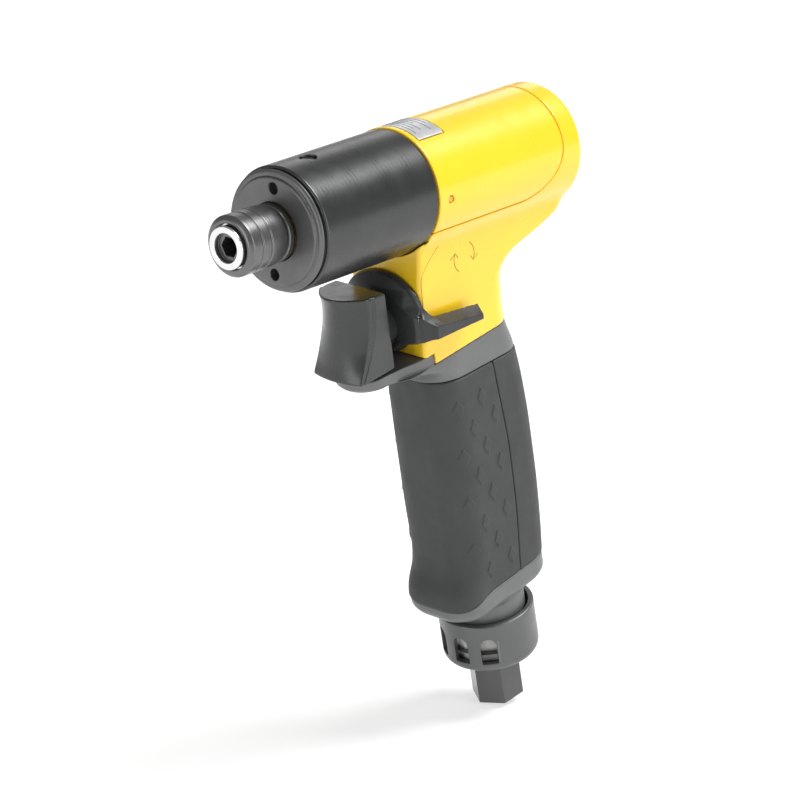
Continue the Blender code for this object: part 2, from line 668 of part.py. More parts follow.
def make_exhaust():
    """Swivelling exhaust ring with windows on one side, the silencer inside it and its O-ring."""
    outline = [
        (-RING_TOP, 15.7), (-RING_TOP, 17.4), (-RING_TOP - 0.5, RING_R), (-RING_BOTTOM + 2.0, RING_R),
        (-RING_BOTTOM, 16.2), (-RING_BOTTOM, 9.5), (-RING_BOTTOM + 2.6, 9.5), (-RING_BOTTOM + 2.6, 15.7),
    ]
    ring = add("exhaust_ring", turned(outline, axis="Z", sides=BIG), HANDLE, "cast_alloy")
    cuts = []
    for k in range(WINDOWS):
        sill, spring = -188.3, -180.6
        arch = [(3, spring), (2.2, -178.8), (0, -177.9), (-2.2, -178.8), (-3, spring)]
        window = prism([(-3, sill), (3, sill)] + arch, 12, 20)
        turn = Matrix.Rotation(WINDOW_FIRST - WINDOW_PITCH * k - math.pi / 2, 3, "Z")
        bmesh.ops.rotate(window, cent=(0, 0, 0), matrix=turn, verts=window.verts)
        cuts.append(window)
    boolean(ring, add("ring_windows", merged(cuts), HANDLE))
    silencer = tube(-RING_BOTTOM + 2.9, -RING_TOP - 1.8, 11.0, 13.6, axis="Z")
    add("silencer", silencer, HANDLE, "felt")
    add("silencer_ring", torus(-186.4, 14.6, 0.7, axis="Z", around=5), HANDLE, "seal_rubber")


def make_inlet():
    """Hexagonal air inlet with a threaded shank, its strainer and the tube up the handle."""
    corner = HEX_FLATS / math.sqrt(3)
    outline = [(-HEX_BOTTOM, 0), (-HEX_BOTTOM, corner - 0.8), (-HEX_BOTTOM + 0.6, corner)]
    outline += [(-RING_BOTTOM - 0.9, corner), (-RING_BOTTOM - 0.4, corner - 0.6), (-RING_BOTTOM - 0.4, 0)]
    bm = turned(outline, axis="Z", sides=6)
    bmesh.ops.rotate(bm, cent=(0, 0, 0), matrix=Matrix.Rotation(math.radians(-5.0), 3, "Z"), verts=bm.verts)
    inlet = add("air_inlet", bm, HANDLE, "dark_steel")
    shank = rod(-RING_BOTTOM - 1.5, -166.5, 9.0, axis="Z", sides=24)
    boolean(inlet, add("inlet_shank", shank, HANDLE), "UNION")
    bore = [(-HEX_BOTTOM - 2, 0), (-HEX_BOTTOM - 2, 5.75), (-198.0, 5.75), (-198.0, 5.0), (-182.0, 5.0)]
    bore += [(-182.0, 4.2), (-160.0, 4.2), (-160.0, 0)]
    boolean(inlet, add("inlet_bore", turned(bore, axis="Z", sides=24), HANDLE))
    cup = [(-197.4, 3.9), (-197.4, 4.6), (-184.0, 4.6), (-184.0, 0), (-184.8, 0), (-184.8, 3.9)]
    add("inlet_strainer", turned(cup, axis="Z", sides=SMALL), HANDLE, "bronze")
    add("air_tube", tube(-166.0, -58.5, 4.4, 5.6, axis="Z", sides=SMALL), HANDLE, "bright_steel")


# ---------------------------------------------------------------- trigger, valve and reverse lever


def make_valve():
    """Throttle valve behind the trigger: body, stem with its poppet, seal, spring and end plug."""
    body = [(7.5, 2.8), (7.5, 6.0), (-26.0, 6.0), (-26.0, 8.4), (-35.6, 8.4), (-35.6, 5.0), (-11.0, 5.0), (-11.0, 2.8)]
    valve = add("valve_body", turned(body, sides=24), TRIGGER, "cast_alloy")
    ports = [block((-24, -17), (-2.2, 2.2), (4, 9)), block((-24, -17), (-2.2, 2.2), (-9, -4))]
    boolean(valve, add("valve_ports", merged(ports), TRIGGER))
    stem = [(17.5, 0), (17.5, 2.4), (-13.2, 2.4), (-13.2, 4.4), (-16.5, 4.4), (-16.5, 0)]
    add("valve_stem", turned(stem, sides=SMALL), TRIGGER, "bright_steel")
    add("poppet_seal", tube(-12.9, -11.4, 2.7, 4.4, sides=SMALL), TRIGGER, "seal_rubber")
    add("valve_spring", coil(-31.4, -16.8, 3.4, 0.45, 5), TRIGGER, "bright_steel")
    add("valve_plug", rod(-35.4, -31.8, 4.7, sides=SMALL), TRIGGER, "bronze")


def trigger_rings(inset=0.0):
    """Level sections up the trigger: its front is hollowed between a lower toe and an upper lip."""
    levels = (
        (-12.5 + inset, 10.8, 30.7, 5.5),
        (-8.0, 11.0, 29.5, 6.0),
        (-2.0, 11.4, 28.3, 6.8),
        (4.0, 11.7, 27.5, 7.8),
        (10.0, 12.0, 27.5, 8.8),
        (13.0 - inset, 12.2, 28.0, 9.4),
    )
    opening = 6.0 if inset else 0.0
    rings = []
    for v, back, front, corner in levels:
        section = rounded_box(back - opening, front - inset, 11.3 - inset, 0.8, corner - inset)
        rings.append([(t, y, v) for t, y in section])
    lip = 29.1
    section = rounded_box(12.5 - opening, lip - inset, 11.3 - inset, 0.8, 10.2 - inset)
    rings.append([(t, y, 18.6 - inset - 0.185 * (lip - t)) for t, y in section])
    return rings


def make_trigger():
    """Trigger: a hollow finger piece, open behind, with a boss for the stem."""
    trigger = add("trigger", lofted(trigger_rings()), TRIGGER, "trigger_plastic")
    boolean(trigger, add("trigger_hollow", lofted(trigger_rings(2.2)), TRIGGER))
    boolean(trigger, add("trigger_boss", rod(14.0, 26.8, 4.6, sides=24), TRIGGER), "UNION")
    boolean(trigger, add("stem_hole", rod(13.0, 18.0, 2.7, sides=SMALL), TRIGGER))


def hub_ring(t, upper, lower, sides=40):
    """Outline of the lever's hub: a wide upper half that closes in to a smaller lower one."""
    ring = []
    for k in range(sides):
        angle = 2 * math.pi * k / sides
        fall = abs(math.degrees(angle) - 180.0)
        blend = min(max((fall - 50.0) / 35.0, 0.0), 1.0)
        radius = lower + (upper - lower) * blend * blend * (3 - 2 * blend)
        ring.append((t, radius * math.sin(angle), radius * math.cos(angle)))
    return ring


def wing(side):
    """One finger tab of the reverse lever, swept back along the neck."""
    plan = [(5.5, 9.0), (4.4, 16.0), (0.4, 23.2), (-23.3, 23.7), (-25.0, 19.6)]
    plan += [(-9.0, 18.6), (-2.0, 17.8), (0.5, 17.0), (0.5, 12.0)]
    low, high = [], []
    for t, y in plan:
        drop = 0.075 * t
        low.append((t, side * y, -4.6 + drop))
        high.append((t, side * y, (3.4 if t > -10 else 2.0) + drop))
    return lofted([low, high])


def make_reverse_lever():
    """Reverse lever round the stem, with a finger tab on each side, and the valve sleeve that it turns."""
    rings = [hub_ring(0.3, 18.5, 12.1), hub_ring(2.4, 18.5, 12.1), hub_ring(6.0, 10.6, 10.2)]
    rings += [hub_ring(6.0, 8.4, 8.4), hub_ring(10.4, 8.4, 8.4)]
    lever = add("reverse_lever", lofted(rings), TRIGGER, "black_plastic")
    boolean(lever, add("lever_tab_left", wing(1), TRIGGER), "UNION")
    boolean(lever, add("lever_tab_right", wing(-1), TRIGGER), "UNION")
    boolean(lever, add("lever_bore", rod(-2, 12, 6.3, sides=24), TRIGGER))
    sleeve = add("reverse_valve", tube(-25.6, -0.2, 6.3, 8.4, sides=24), TRIGGER, "bronze")
    ports = [block((-23.5, -17.5), (-2, 2), (5, 10)), block((-23.5, -17.5), (-2, 2), (-10, -5))]
    boolean(sleeve, add("sleeve_ports", merged(ports), TRIGGER))


def main():
    clear_scene()
    make_anvil()
    make_chuck()
    make_nose()
    make_hammer_case()
    make_hammer_cage()
    make_hammers()
    make_motor()
    bore = make_motor_housing()
    make_handle_housing(bore)
    make_handle_frame()
    make_grips()
    make_base_cap()
    make_exhaust()
    make_inlet()
    make_valve()
    make_trigger()
    make_reverse_lever()


main()
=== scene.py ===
"""Looks of the pistol-grip impact wrench: smooth visible shells, procedural materials, studio
and camera.

Each visible piece is the zero surface of a field: a function that is negative inside the piece.
The fields are written in millimetres in the same three working frames that the CAD uses, and
edges are rounded by smooth_max and smooth_min. In the fields, x, y, z are SPINDLE coordinates,
t, y, v are TRIGGER ones and u, y, w are HANDLE ones. y is the same in all three.
"""

import json
import math

import bpy
import numpy as np
from mathutils import Matrix, Vector


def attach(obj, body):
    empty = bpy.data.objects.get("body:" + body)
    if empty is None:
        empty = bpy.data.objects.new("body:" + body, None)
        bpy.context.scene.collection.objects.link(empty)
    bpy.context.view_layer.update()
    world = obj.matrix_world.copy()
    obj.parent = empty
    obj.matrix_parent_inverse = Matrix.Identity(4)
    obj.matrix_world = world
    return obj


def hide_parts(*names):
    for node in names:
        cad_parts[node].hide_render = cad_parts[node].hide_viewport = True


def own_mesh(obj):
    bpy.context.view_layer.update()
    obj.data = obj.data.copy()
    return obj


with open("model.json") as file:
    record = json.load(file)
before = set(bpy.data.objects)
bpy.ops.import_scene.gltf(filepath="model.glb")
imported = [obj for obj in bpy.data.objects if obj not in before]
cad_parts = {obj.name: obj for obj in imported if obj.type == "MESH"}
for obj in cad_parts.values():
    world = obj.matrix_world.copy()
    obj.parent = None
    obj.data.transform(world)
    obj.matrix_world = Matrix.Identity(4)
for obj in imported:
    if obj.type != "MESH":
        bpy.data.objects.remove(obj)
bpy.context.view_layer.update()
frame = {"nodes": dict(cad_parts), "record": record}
NODES = frame["nodes"]

MM = 0.001
CASE_FRONT, SPINDLE_HEIGHT = 54.15, 210.45
CROSSING, RAKE = -73.05, math.radians(11.26)  # where the handle meets the barrel, and its lean
STEM_X, STEM_Z, TILT = -54.4, -45.5, math.radians(7.0)  # the trigger's stem and its lean
SPINDLE = Matrix.Translation(Vector((CASE_FRONT, 0, SPINDLE_HEIGHT)) * MM)
HANDLE = (
    SPINDLE @ Matrix.Translation(Vector((CROSSING, 0, 0)) * MM) @ Matrix.Rotation(RAKE, 4, "Y")
)
TRIGGER = (
    SPINDLE
    @ Matrix.Translation(Vector((STEM_X, 0, STEM_Z)) * MM)
    @ Matrix.Rotation(TILT, 4, "Y")
)
COARSE = 1.0


# ---------------------------------------------------------------- fields


def smooth_max(a, b, k):
    """The larger of two fields, with the edge between them rounded over about k."""
    h = np.maximum(k - np.abs(a - b), 0.0) / k
    return np.maximum(a, b) + h * h * k * 0.25


def smooth_min(a, b, k):
    """The smaller of two fields, with the crease between them filled over about k."""
    return -smooth_max(-a, -b, k)


def cut(d, tool, edge=0.0):
    """d with tool taken away, and the new edge rounded over about edge."""
    return smooth_max(d, -tool, edge) if edge else np.maximum(d, -tool)


def smooth_step(share):
    """0 to 1 with level ends."""
    return share * share * (3 - 2 * share)


def slab(p, low, high):
    """Negative between two stations."""
    return np.maximum(low - p, p - high)


def rod(along, a, b, low, high, radius, edge=0.4):
    """Cylinder along one coordinate with rounded rims."""
    return smooth_max(np.hypot(a, b) - radius, slab(along, low, high), edge)


def bevel(r, radius, along, station, lean, length):
    """Cone that passes radius at station and narrows by lean. Length makes it a distance."""
    return (r - radius + (along - station) * lean) / length


def rounded_rect(x, y, back, front, half, back_radius, front_radius):
    """Box from back to front with its own corner radii behind and in front."""
    radius = np.where(x > (back + front) / 2, front_radius, back_radius)
    qx = np.maximum(back - x, x - front) + radius
    qy = np.abs(y) - half + radius
    outside = np.hypot(np.maximum(qx, 0), np.maximum(qy, 0))
    return np.minimum(np.maximum(qx, qy), 0.0) + outside - radius


def polygon(px, py, points):
    """Distance to a polygon in a plane, negative inside."""
    nearest = np.full(np.broadcast(px, py).shape, 1e9)
    sign = np.ones(nearest.shape)
    for (ax, ay), (bx, by) in zip(points, points[1:] + points[:1]):
        ex, ey = bx - ax, by - ay
        wx, wy = px - ax, py - ay
        h = np.clip((wx * ex + wy * ey) / (ex * ex + ey * ey), 0, 1)
        nearest = np.minimum(nearest, (wx - ex * h) ** 2 + (wy - ey * h) ** 2)
        above, below, left = py >= ay, py < by, ex * wy > ey * wx
        sign = np.where((above & below & left) | ~(above | below | left), -sign, sign)
    return sign * np.sqrt(nearest)


def profile(pairs, soft):
    """A smooth curve that follows (station, value) pairs, rounded over about soft."""
    pitch = 0.1
    stations, values = np.array(pairs, float).T
    fine = np.arange(stations[0] - 4 * soft, stations[-1] + 4 * soft, pitch)
    kernel = np.exp(-0.5 * (np.arange(-3 * soft, 3 * soft + pitch / 2, pitch) / soft) ** 2)
    half = len(kernel) // 2
    level = np.pad(np.interp(fine, stations, values), half, mode="edge")
    level = np.convolve(level, kernel / kernel.sum(), "valid")[: len(fine)]
    return lambda at: np.interp(at, fine, level)


def turned(x, z, angle):
    """A point of the middle plane in axes that lean by angle."""
    return (
        x * math.cos(angle) - z * math.sin(angle),
        x * math.sin(angle) + z * math.cos(angle),
    )


def to_handle(x, z):
    """SPINDLE x, z as HANDLE u, w."""
    return turned(x - CROSSING, z, RAKE)


def to_trigger(x, z):
    """SPINDLE x, z as TRIGGER t, v."""
    return turned(x - STEM_X, z - STEM_Z, TILT)


# ---------------------------------------------------------------- meshing


def gradient(field, p, step=0.02):
    """The field's slope at each point."""
    out = np.empty_like(p)
    for k in range(3):
        ahead, behind = p.copy(), p.copy()
        ahead[:, k] += step
        behind[:, k] -= step
        out[:, k] = (field(*ahead.T) - field(*behind.T)) / (2 * step)
    return out


def settled(field, p, reach, rounds=3):
    """Points moved along the field's slope onto its zero surface, by at most reach a round."""
    for _ in range(rounds):
        slope = gradient(field, p)
        size = np.maximum((slope**2).sum(1), 1e-6)
        move = (field(*p.T) / size)[:, None] * slope
        length = np.linalg.norm(move, axis=1, keepdims=True)
        p = p - move * np.minimum(1.0, reach / np.maximum(length, 1e-9))
    return p


def skin(field, low, high, step):
    """Points and quads of the field's zero surface: one point per mixed cell of a grid."""
    margin, relax_rounds, last_reach = 1.5 * step, 3, 0.6 * step
    low = np.array(low, float) - margin
    counts = np.ceil((np.array(high, float) + margin - low) / step).astype(int) + 1
    axes = [low[k] + step * np.arange(counts[k]) for k in range(3)]
    grid = np.meshgrid(*axes, indexing="ij", sparse=True)
    inside = np.broadcast_to(field(*grid), counts) < 0
    filled = np.zeros(counts - 1, np.int8)
    for corner in np.ndindex(2, 2, 2):
        filled += inside[tuple(slice(c, n - 1 + c) for c, n in zip(corner, counts))]
    mixed = (filled > 0) & (filled < 8)
    number = np.full(mixed.shape, -1, np.int64)
    number[mixed] = np.arange(mixed.sum())
    points = low + (np.argwhere(mixed) + 0.5) * step
    quads = []
    for axis, (one, two) in enumerate(((1, 2), (2, 0), (0, 1))):
        near = np.take(inside, range(counts[axis] - 1), axis)
        far = np.take(inside, range(1, counts[axis]), axis)
        where = np.argwhere(near != far)
        e1, e2 = np.eye(3, dtype=int)[one], np.eye(3, dtype=int)[two]
        quad = np.stack([number[tuple((where - s).T)] for s in (0 * e1, e1, e1 + e2, e2)], 1)
        outward = near[tuple(where.T)]
        quads.append(np.where(outward[:, None], quad, quad[:, ::-1]))
    quads = np.concatenate(quads)
    ends = np.concatenate([quads[:, [k, (k + 1) % 4]] for k in range(4)])
    start, end = np.concatenate([ends, ends[:, ::-1]]).T
    count = np.bincount(start, minlength=len(points))[:, None]
    for _ in range(relax_rounds):
        points = settled(field, points, step, 1)
        sums = [np.bincount(start, points[end, k], len(points)) for k in range(3)]
        points = 0.5 * points + 0.5 * np.stack(sums, 1) / count
    return settled(field, points, last_reach), quads


# ---------------------------------------------------------------- making pieces


def shown(obj, body, node=None):
    """Puts a piece in the scene, riding on its body and standing for its CAD node."""
    bpy.context.scene.collection.objects.link(obj)
    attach(obj, body)
    if node:
        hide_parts(node)


def made(name, field, low, high, step, place, body, node, material):
    """A piece from its field, inside a box: smooth shaded with the field's own normals."""
    points, quads = skin(field, low, high, step * COARSE)
    slope = gradient(field, points, 0.06)
    slope /= np.maximum(np.linalg.norm(slope, axis=1, keepdims=True), 1e-9)
    turn = np.array(place.to_3x3())
    points = points * MM @ turn.T + np.array(place.translation)
    mesh = bpy.data.meshes.new(name)
    mesh.vertices.add(len(points))
    mesh.vertices.foreach_set("co", points.ravel())
    mesh.loops.add(quads.size)
    mesh.loops.foreach_set("vertex_index", quads.ravel())
    mesh.polygons.add(len(quads))
    mesh.polygons.foreach_set("loop_start", np.arange(0, quads.size, 4))
    mesh.update(calc_edges=True)
    mesh.shade_smooth()
    mesh.normals_split_custom_set_from_vertices(slope @ turn.T)
    mesh.materials.append(material)
    shown(bpy.data.objects.new(name, mesh), body, node)


def spring(name, node, body):
    """A copy of the CAD coil in its place, smooth shaded in ground steel, riding on its body."""
    mesh = NODES[node].data.copy()
    mesh.transform(NODES[node].matrix_world)
    mesh.shade_smooth()
    mesh.materials.clear()
    mesh.materials.append(STEEL)
    obj = bpy.data.objects.new(name, mesh)
    shown(obj, body, node)
    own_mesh(obj)


def raised_line(name, spots, radius, material):
    """A fine line through SPINDLE points, half sunk in the surface under it: printed rows, and
    moulded and engraved marks whose darker colour is painted shade.
    """
    line = bpy.data.curves.new(name, "CURVE")
    line.dimensions, line.bevel_depth, line.bevel_resolution = "3D", radius * MM, 3
    path = line.splines.new("POLY")
    path.points.add(len(spots) - 1)
    for point, spot in zip(path.points, spots):
        point.co = (*(SPINDLE @ (Vector(spot) * MM)), 1)
    line.materials.append(material)
    shown(bpy.data.objects.new(name, line), "housing")


# ---------------------------------------------------------------- materials


def finish(name, colour, roughness, metallic=0.0, vary=0.05, grain=0.0, grain_mm=0.3, coat=0.0,
           wear=None, turned_mm=0.0, smudge=0.06, specular=0.5):
    """Procedural material: cloudy colour, uneven roughness, fine grain or lathe marks, and edges
    worn to the colour wear."""
    cloud_mm, patch_mm, handled_mm, relief_mm = 14.0, 3.0, 6.0, 0.05
    wear_from, wear_full, wear_most = 0.57, 0.68, 0.5  # of the shape's pointiness
    noise_low, noise_high = 0.3, 0.7  # where nearly all of a noise texture's values lie
    made_of = bpy.data.materials.new(name)
    made_of.use_nodes = True
    tree = made_of.node_tree
    shader = tree.nodes["Principled BSDF"]
    shader.inputs["Metallic"].default_value = metallic
    shader.inputs["Specular IOR Level"].default_value = specular
    shader.inputs["Coat Weight"].default_value = coat
    shader.inputs["Coat Roughness"].default_value = 0.08

    def node(kind, **values):
        new = tree.nodes.new(kind)
        for key, value in values.items():
            if key in new.inputs:
                new.inputs[key].default_value = value
            else:
                setattr(new, key, value)
        return new

    def link(a, out, b, into):
        tree.links.new(a.outputs[out], b.inputs[into])

    def noise(size_mm, detail):
        new = node("ShaderNodeTexNoise", Scale=1.0 / (size_mm * MM), Detail=detail)
        link(place, "Object", new, "Vector")
        return new

    def remap(source, out, span, target):
        new = node("ShaderNodeMapRange")
        new.inputs["From Min"].default_value, new.inputs["From Max"].default_value = span
        new.inputs["To Min"].default_value, new.inputs["To Max"].default_value = target
        link(source, out, new, "Value")
        return new

    place = node("ShaderNodeTexCoord")
    ramp = node("ShaderNodeValToRGB")
    dark, light = ramp.color_ramp.elements
    dark.position, light.position = noise_low, noise_high
    dark.color = (*[c * (1 - vary) for c in colour], 1)
    light.color = (*[min(1, c * (1 + vary)) for c in colour], 1)
    link(noise(cloud_mm, 3.0), "Fac", ramp, "Fac")
    last = ramp
    if wear:
        shape = node("ShaderNodeNewGeometry")
        edge = remap(shape, "Pointiness", (wear_from, wear_full), (0.0, wear_most))
        much = node("ShaderNodeMath", operation="MULTIPLY")
        link(edge, "Result", much, 0)
        link(noise(patch_mm, 4.0), "Fac", much, 1)
        last = node("ShaderNodeMixRGB", Color2=(*wear, 1))
        link(much, "Value", last, "Fac")
        link(ramp, "Color", last, "Color1")
    link(last, "Color", shader, "Base Color")
    uneven = (max(0.02, roughness - smudge), roughness + smudge)
    rough = remap(noise(handled_mm, 5.0), "Fac", (noise_low, noise_high), uneven)
    link(rough, "Result", shader, "Roughness")
    height = None
    if turned_mm:
        height = node("ShaderNodeTexWave", Scale=0.05 / (turned_mm * MM), Distortion=0.4,
                      bands_direction="X")
        link(place, "Object", height, "Vector")
    elif grain:
        height = noise(grain_mm, 2.0)
    if height:
        bump = node("ShaderNodeBump", Strength=grain, Distance=relief_mm * MM)
        link(height, "Fac", bump, "Height")
        link(bump, "Normal", shader, "Normal")
    return made_of


YELLOW = finish("yellow_enamel", (0.93, 0.595, 0.014), 0.3, vary=0.02, grain=0.06, grain_mm=1.6,
                coat=0.5, smudge=0.04, wear=(0.85, 0.62, 0.08))
# Darker yellow of the rotation arrow and the neck's parting lines: painted shade, standing for the
# shade that these fine engraved and moulded lines hold in the yellow paint.
PAINTED_LINE_SHADE = finish("yellow_painted_line_shade", (0.42, 0.27, 0.02), 0.4, vary=0.05, grain=0.06, grain_mm=1.6)
INK = finish("label_ink", (0.09, 0.09, 0.095), 0.5, vary=0.1, grain=0.1, grain_mm=0.3)
CASE = finish("black_hard_coat", (0.07, 0.072, 0.071), 0.29, metallic=0.8, vary=0.08, grain=0.1,
              turned_mm=0.3, wear=(0.22, 0.22, 0.22), smudge=0.03)
NOSE = finish("black_nose_coat", (0.13, 0.132, 0.13), 0.4, metallic=0.7, vary=0.08, grain=0.15,
              grain_mm=0.3, wear=(0.25, 0.25, 0.25))
CHUCK = finish("blackened_steel", (0.15, 0.151, 0.15), 0.34, metallic=0.85, vary=0.1, grain=0.2,
               turned_mm=0.22, wear=(0.4, 0.4, 0.39))
STEEL = finish("ground_steel", (0.72, 0.72, 0.73), 0.22, metallic=1.0, vary=0.05, grain=0.15,
               grain_mm=0.2)
CAST = finish("grey_cast_alloy", (0.145, 0.147, 0.149), 0.43, metallic=0.35, vary=0.06,
              grain=0.35, grain_mm=0.5, wear=(0.28, 0.28, 0.28))
SWIVEL = finish("grey_swivel_alloy", (0.12, 0.122, 0.123), 0.36, metallic=0.55, vary=0.06,
                grain=0.25, grain_mm=0.4, wear=(0.26, 0.26, 0.26))
RUBBER = finish("grip_rubber", (0.047, 0.0495, 0.0485), 0.62, vary=0.08, grain=0.5,
                grain_mm=0.35, specular=0.35)
BLACK = finish("lever_plastic", (0.034, 0.035, 0.036), 0.3, vary=0.08, grain=0.2, grain_mm=0.4,
               specular=0.35)
TRIGGER_GREY = finish("trigger_plastic", (0.034, 0.035, 0.0355), 0.24, vary=0.05, grain=0.12,
                      grain_mm=0.45)
GUNMETAL = finish("inlet_gunmetal", (0.08, 0.08, 0.08), 0.2, metallic=0.25, vary=0.08,
                  grain=0.15, grain_mm=0.25, wear=(0.3, 0.3, 0.3))
FOIL = finish("label_foil", (0.6, 0.61, 0.62), 0.32, metallic=0.6, vary=0.03, grain=0.1,
              grain_mm=0.2)
SINTER = finish("sintered_silencer", (0.62, 0.62, 0.6), 0.85, vary=0.1, grain=0.8, grain_mm=0.25)
SEAL = finish("nitrile_seal", (0.03, 0.03, 0.031), 0.5, vary=0.1, grain=0.2, grain_mm=0.3)
BRONZE = finish("sintered_bronze", (0.5, 0.33, 0.14), 0.42, metallic=0.9, vary=0.15, grain=0.3,
                grain_mm=0.3)
AMBER = finish("amber_pin", (0.75, 0.42, 0.05), 0.4, vary=0.15, grain=0.2, grain_mm=0.3)
VANE = finish("vane_laminate", (0.28, 0.2, 0.12), 0.65, vary=0.15, grain=0.4, grain_mm=0.25)
BY_SLOT = {
    "yellow_shell": YELLOW, "black_case": CASE, "dark_steel": CHUCK, "bright_steel": STEEL,
    "bronze": BRONZE, "cast_alloy": CAST, "grip_rubber": RUBBER, "black_plastic": BLACK,
    "trigger_plastic": TRIGGER_GREY, "vane_composite": VANE, "label_foil": FOIL,
    "felt": SINTER, "seal_rubber": SEAL,
}


# ---------------------------------------------------------------- barrel, nose and chuck

CASE_RADIUS, CASE_BACK, CASE_BORE = 22.0, -56.0, 19.5
RIM_RADIUS, NOSE_FRONT = 21.3, 3.1  # of the plate that closes the case
SLEEVE_RADIUS, SLEEVE_BACK, SLEEVE_END = 10.7, 6.6, 24.8
SPINDLE_END, MOUTH_RADIUS = 26.1, 5.1
HEX_HALF = 3.175  # quarter-inch socket
BARREL_RADIUS, BARREL_FRONT, BARREL_BACK = 22.4, -56.4, -134.8
MOTOR_BORE, MOTOR_BACK = 19.8, -131.8
SEAM_GAP = 0.15  # half of the gap between two shells


def case_field(x, y, z):
    """Black tube of the hammer case, with the port on top of it."""
    r = np.hypot(y, z)
    d = smooth_max(r - CASE_RADIUS, slab(x, CASE_BACK, 0.0), 0.9)
    d = cut(d, r - CASE_BORE, 0.2)
    seat = np.maximum(r - 20.95, -1.6 - x)
    port = np.maximum(np.hypot(x + 14.3, y) - 3.0, 10.0 - z)
    return cut(cut(d, seat, 0.2), port, 0.5)


def nose_field(x, y, z):
    """Plate in the front of the case: a rim, a raised face and two pin holes."""
    r = np.hypot(y, z)
    d = smooth_max(r - 18.8, slab(x, -6.0, NOSE_FRONT), 0.7)
    d = smooth_min(d, smooth_max(r - RIM_RADIUS, slab(x, 0.3, 2.25), 1.7), 0.25)
    d = np.minimum(d, smooth_max(r - 19.2, slab(x, -12.0, 1.0), 0.3))
    d = cut(d, r - 10.1, 0.4)
    d = cut(d, np.maximum(r - 16.4, x + 9.3))
    for side in (-1, 1):
        d = cut(d, np.maximum(np.hypot(y, z - side * 15.07) - 2.0, -0.5 - x), 0.5)
    return d


def sleeve_field(x, y, z):
    """Chuck sleeve: it narrows a little to the rear and has two fine grooves."""
    r = np.hypot(y, z)
    body = profile([(6.6, 10.1), (9.0, 10.45), (12.0, 10.6), (15.5, 10.7), (24.8, 10.7)], 1.0)
    d = smooth_max(r - body(x), slab(x, SLEEVE_BACK, SLEEVE_END), 0.9)
    d = smooth_max(d, bevel(r, SLEEVE_RADIUS, x, 23.7, 1.3, 1.64), 0.35)
    for groove in (19.2, 14.9):
        d = cut(d, np.hypot(x - groove, r - 10.85) - 0.42, 0.25)
    bore = np.where(x > 23.5, 7.95, np.where(x > 15.2, 9.3, 6.75))
    bore = np.maximum(bore, 6.75 + np.clip(12.9 - x, 0, 6.3) * 0.23)
    return smooth_max(d, bore - r, 0.3)


def anvil_field(x, y, z):
    """Output spindle: hex socket in front, a flange at the case, and two dogs for the hammers."""
    r = np.hypot(y, z)
    d = smooth_max(r - 7.4, slab(x, 24.0, SPINDLE_END), 0.3)
    d = smooth_min(d, np.maximum(r - 6.3, slab(x, 3.0, 25.0)), 0.3)
    d = np.minimum(d, smooth_max(r - 10.2, slab(x, 3.4, 6.3), 1.0))
    d = np.minimum(d, np.maximum(r - 7.0, slab(x, -10.0, 4.0)))
    for radius, low, high, edge in (
        (9.0, -12.6, -9.5, 0.4),
        (5.5, -44.5, -10.0, 0.3),
        (3.6, -47.5, -44.0, 0.3),
    ):
        d = np.minimum(d, smooth_max(r - radius, slab(x, low, high), edge))
    for low, high, side in ((-30.0, -18.0, 1), (-44.2, -31.6, -1)):
        dog = np.maximum(slab(x, low, high), slab(z, -2.8, 2.8))
        dog = smooth_max(dog, side * y - 8.0, 0.4)
        d = np.minimum(d, np.maximum(dog, -side * y))
    d = cut(d, np.maximum(r - MOUTH_RADIUS, 24.6 - x), 0.3)
    flats = np.maximum(np.abs(y) * math.cos(math.pi / 6) + np.abs(z) * 0.5, np.abs(z))
    d = cut(d, np.maximum(flats - HEX_HALF, -2.0 - x), 0.25)
    return cut(d, np.maximum(np.hypot(x - 14.0, y) - 1.95, 2.0 - z))


def face_field(x, y, z):
    """Polished end of the spindle: a thin ring round its mouth."""
    r = np.hypot(y, z)
    return cut(smooth_max(r - 7.54, slab(x, 25.4, 26.5), 0.5), r - MOUTH_RADIUS, 0.3)


def seam_field(x, z):
    """Negative above the seam: level along the sides, then curving up over the rear."""
    across = np.maximum(-103.0 - x, 0) / 21.0
    down = np.maximum(8.5 - z, 0) / 20.0
    return (np.hypot(across, down) - 1.0) * 20.4


def barrel_field(x, y, z):
    """The whole yellow barrel: both shells are cut from it."""
    edge = 3.2
    a = np.hypot(y, z) - BARREL_RADIUS + edge
    b = BARREL_BACK - x + edge
    outside = np.hypot(np.maximum(a, 0), np.maximum(b, 0))
    rear = np.minimum(np.maximum(a, b), 0) + outside - edge
    return smooth_max(rear, x - BARREL_FRONT, 0.5)


def label_plan(x, y, z, low, high, half):
    """Patch on top of the barrel: two stations, and half a width round the barrel."""
    return slab(x, low, high), np.abs(np.arctan2(y, z)) * CASE_RADIUS - half


def upper_field(x, y, z):
    """Upper shell of the barrel, with the seat of the plate and the hole of the pin."""
    d = smooth_max(barrel_field(x, y, z), seam_field(x, z) + SEAM_GAP, 0.7)
    r = np.hypot(y, z)
    d = smooth_max(d, MOTOR_BORE - np.maximum(r, MOTOR_BORE * (x < MOTOR_BACK)), 0.1)
    seat = np.maximum(np.maximum(*label_plan(x, y, z, -72.3, -58.7, 11.1)), 21.9 - r)
    pin = np.maximum(np.hypot(x + 62.4, z) - 1.4, 15.0 - y)
    return cut(cut(d, seat, 0.25), pin, 0.6)


NECK_BACK = profile(
    [
        (-63, -106.2), (-55.7, -105.2), (-49, -103.4), (-41, -102.1), (-36.5, -102.0),
        (-34.1, -103.0), (-31.8, -105.4), (-29.5, -108.5), (-27.9, -113.0), (-24.4, -123.9),
        (-20.8, -132.6), (-18.6, -133.8), (-8, -133.8),
    ],
    0.9,
)


def collar_top(u):
    """Station where the yellow neck ends: a plane that leans a little less than the handle."""
    return 57.3 + 0.045 * np.clip(26.0 - u, 0, 60)


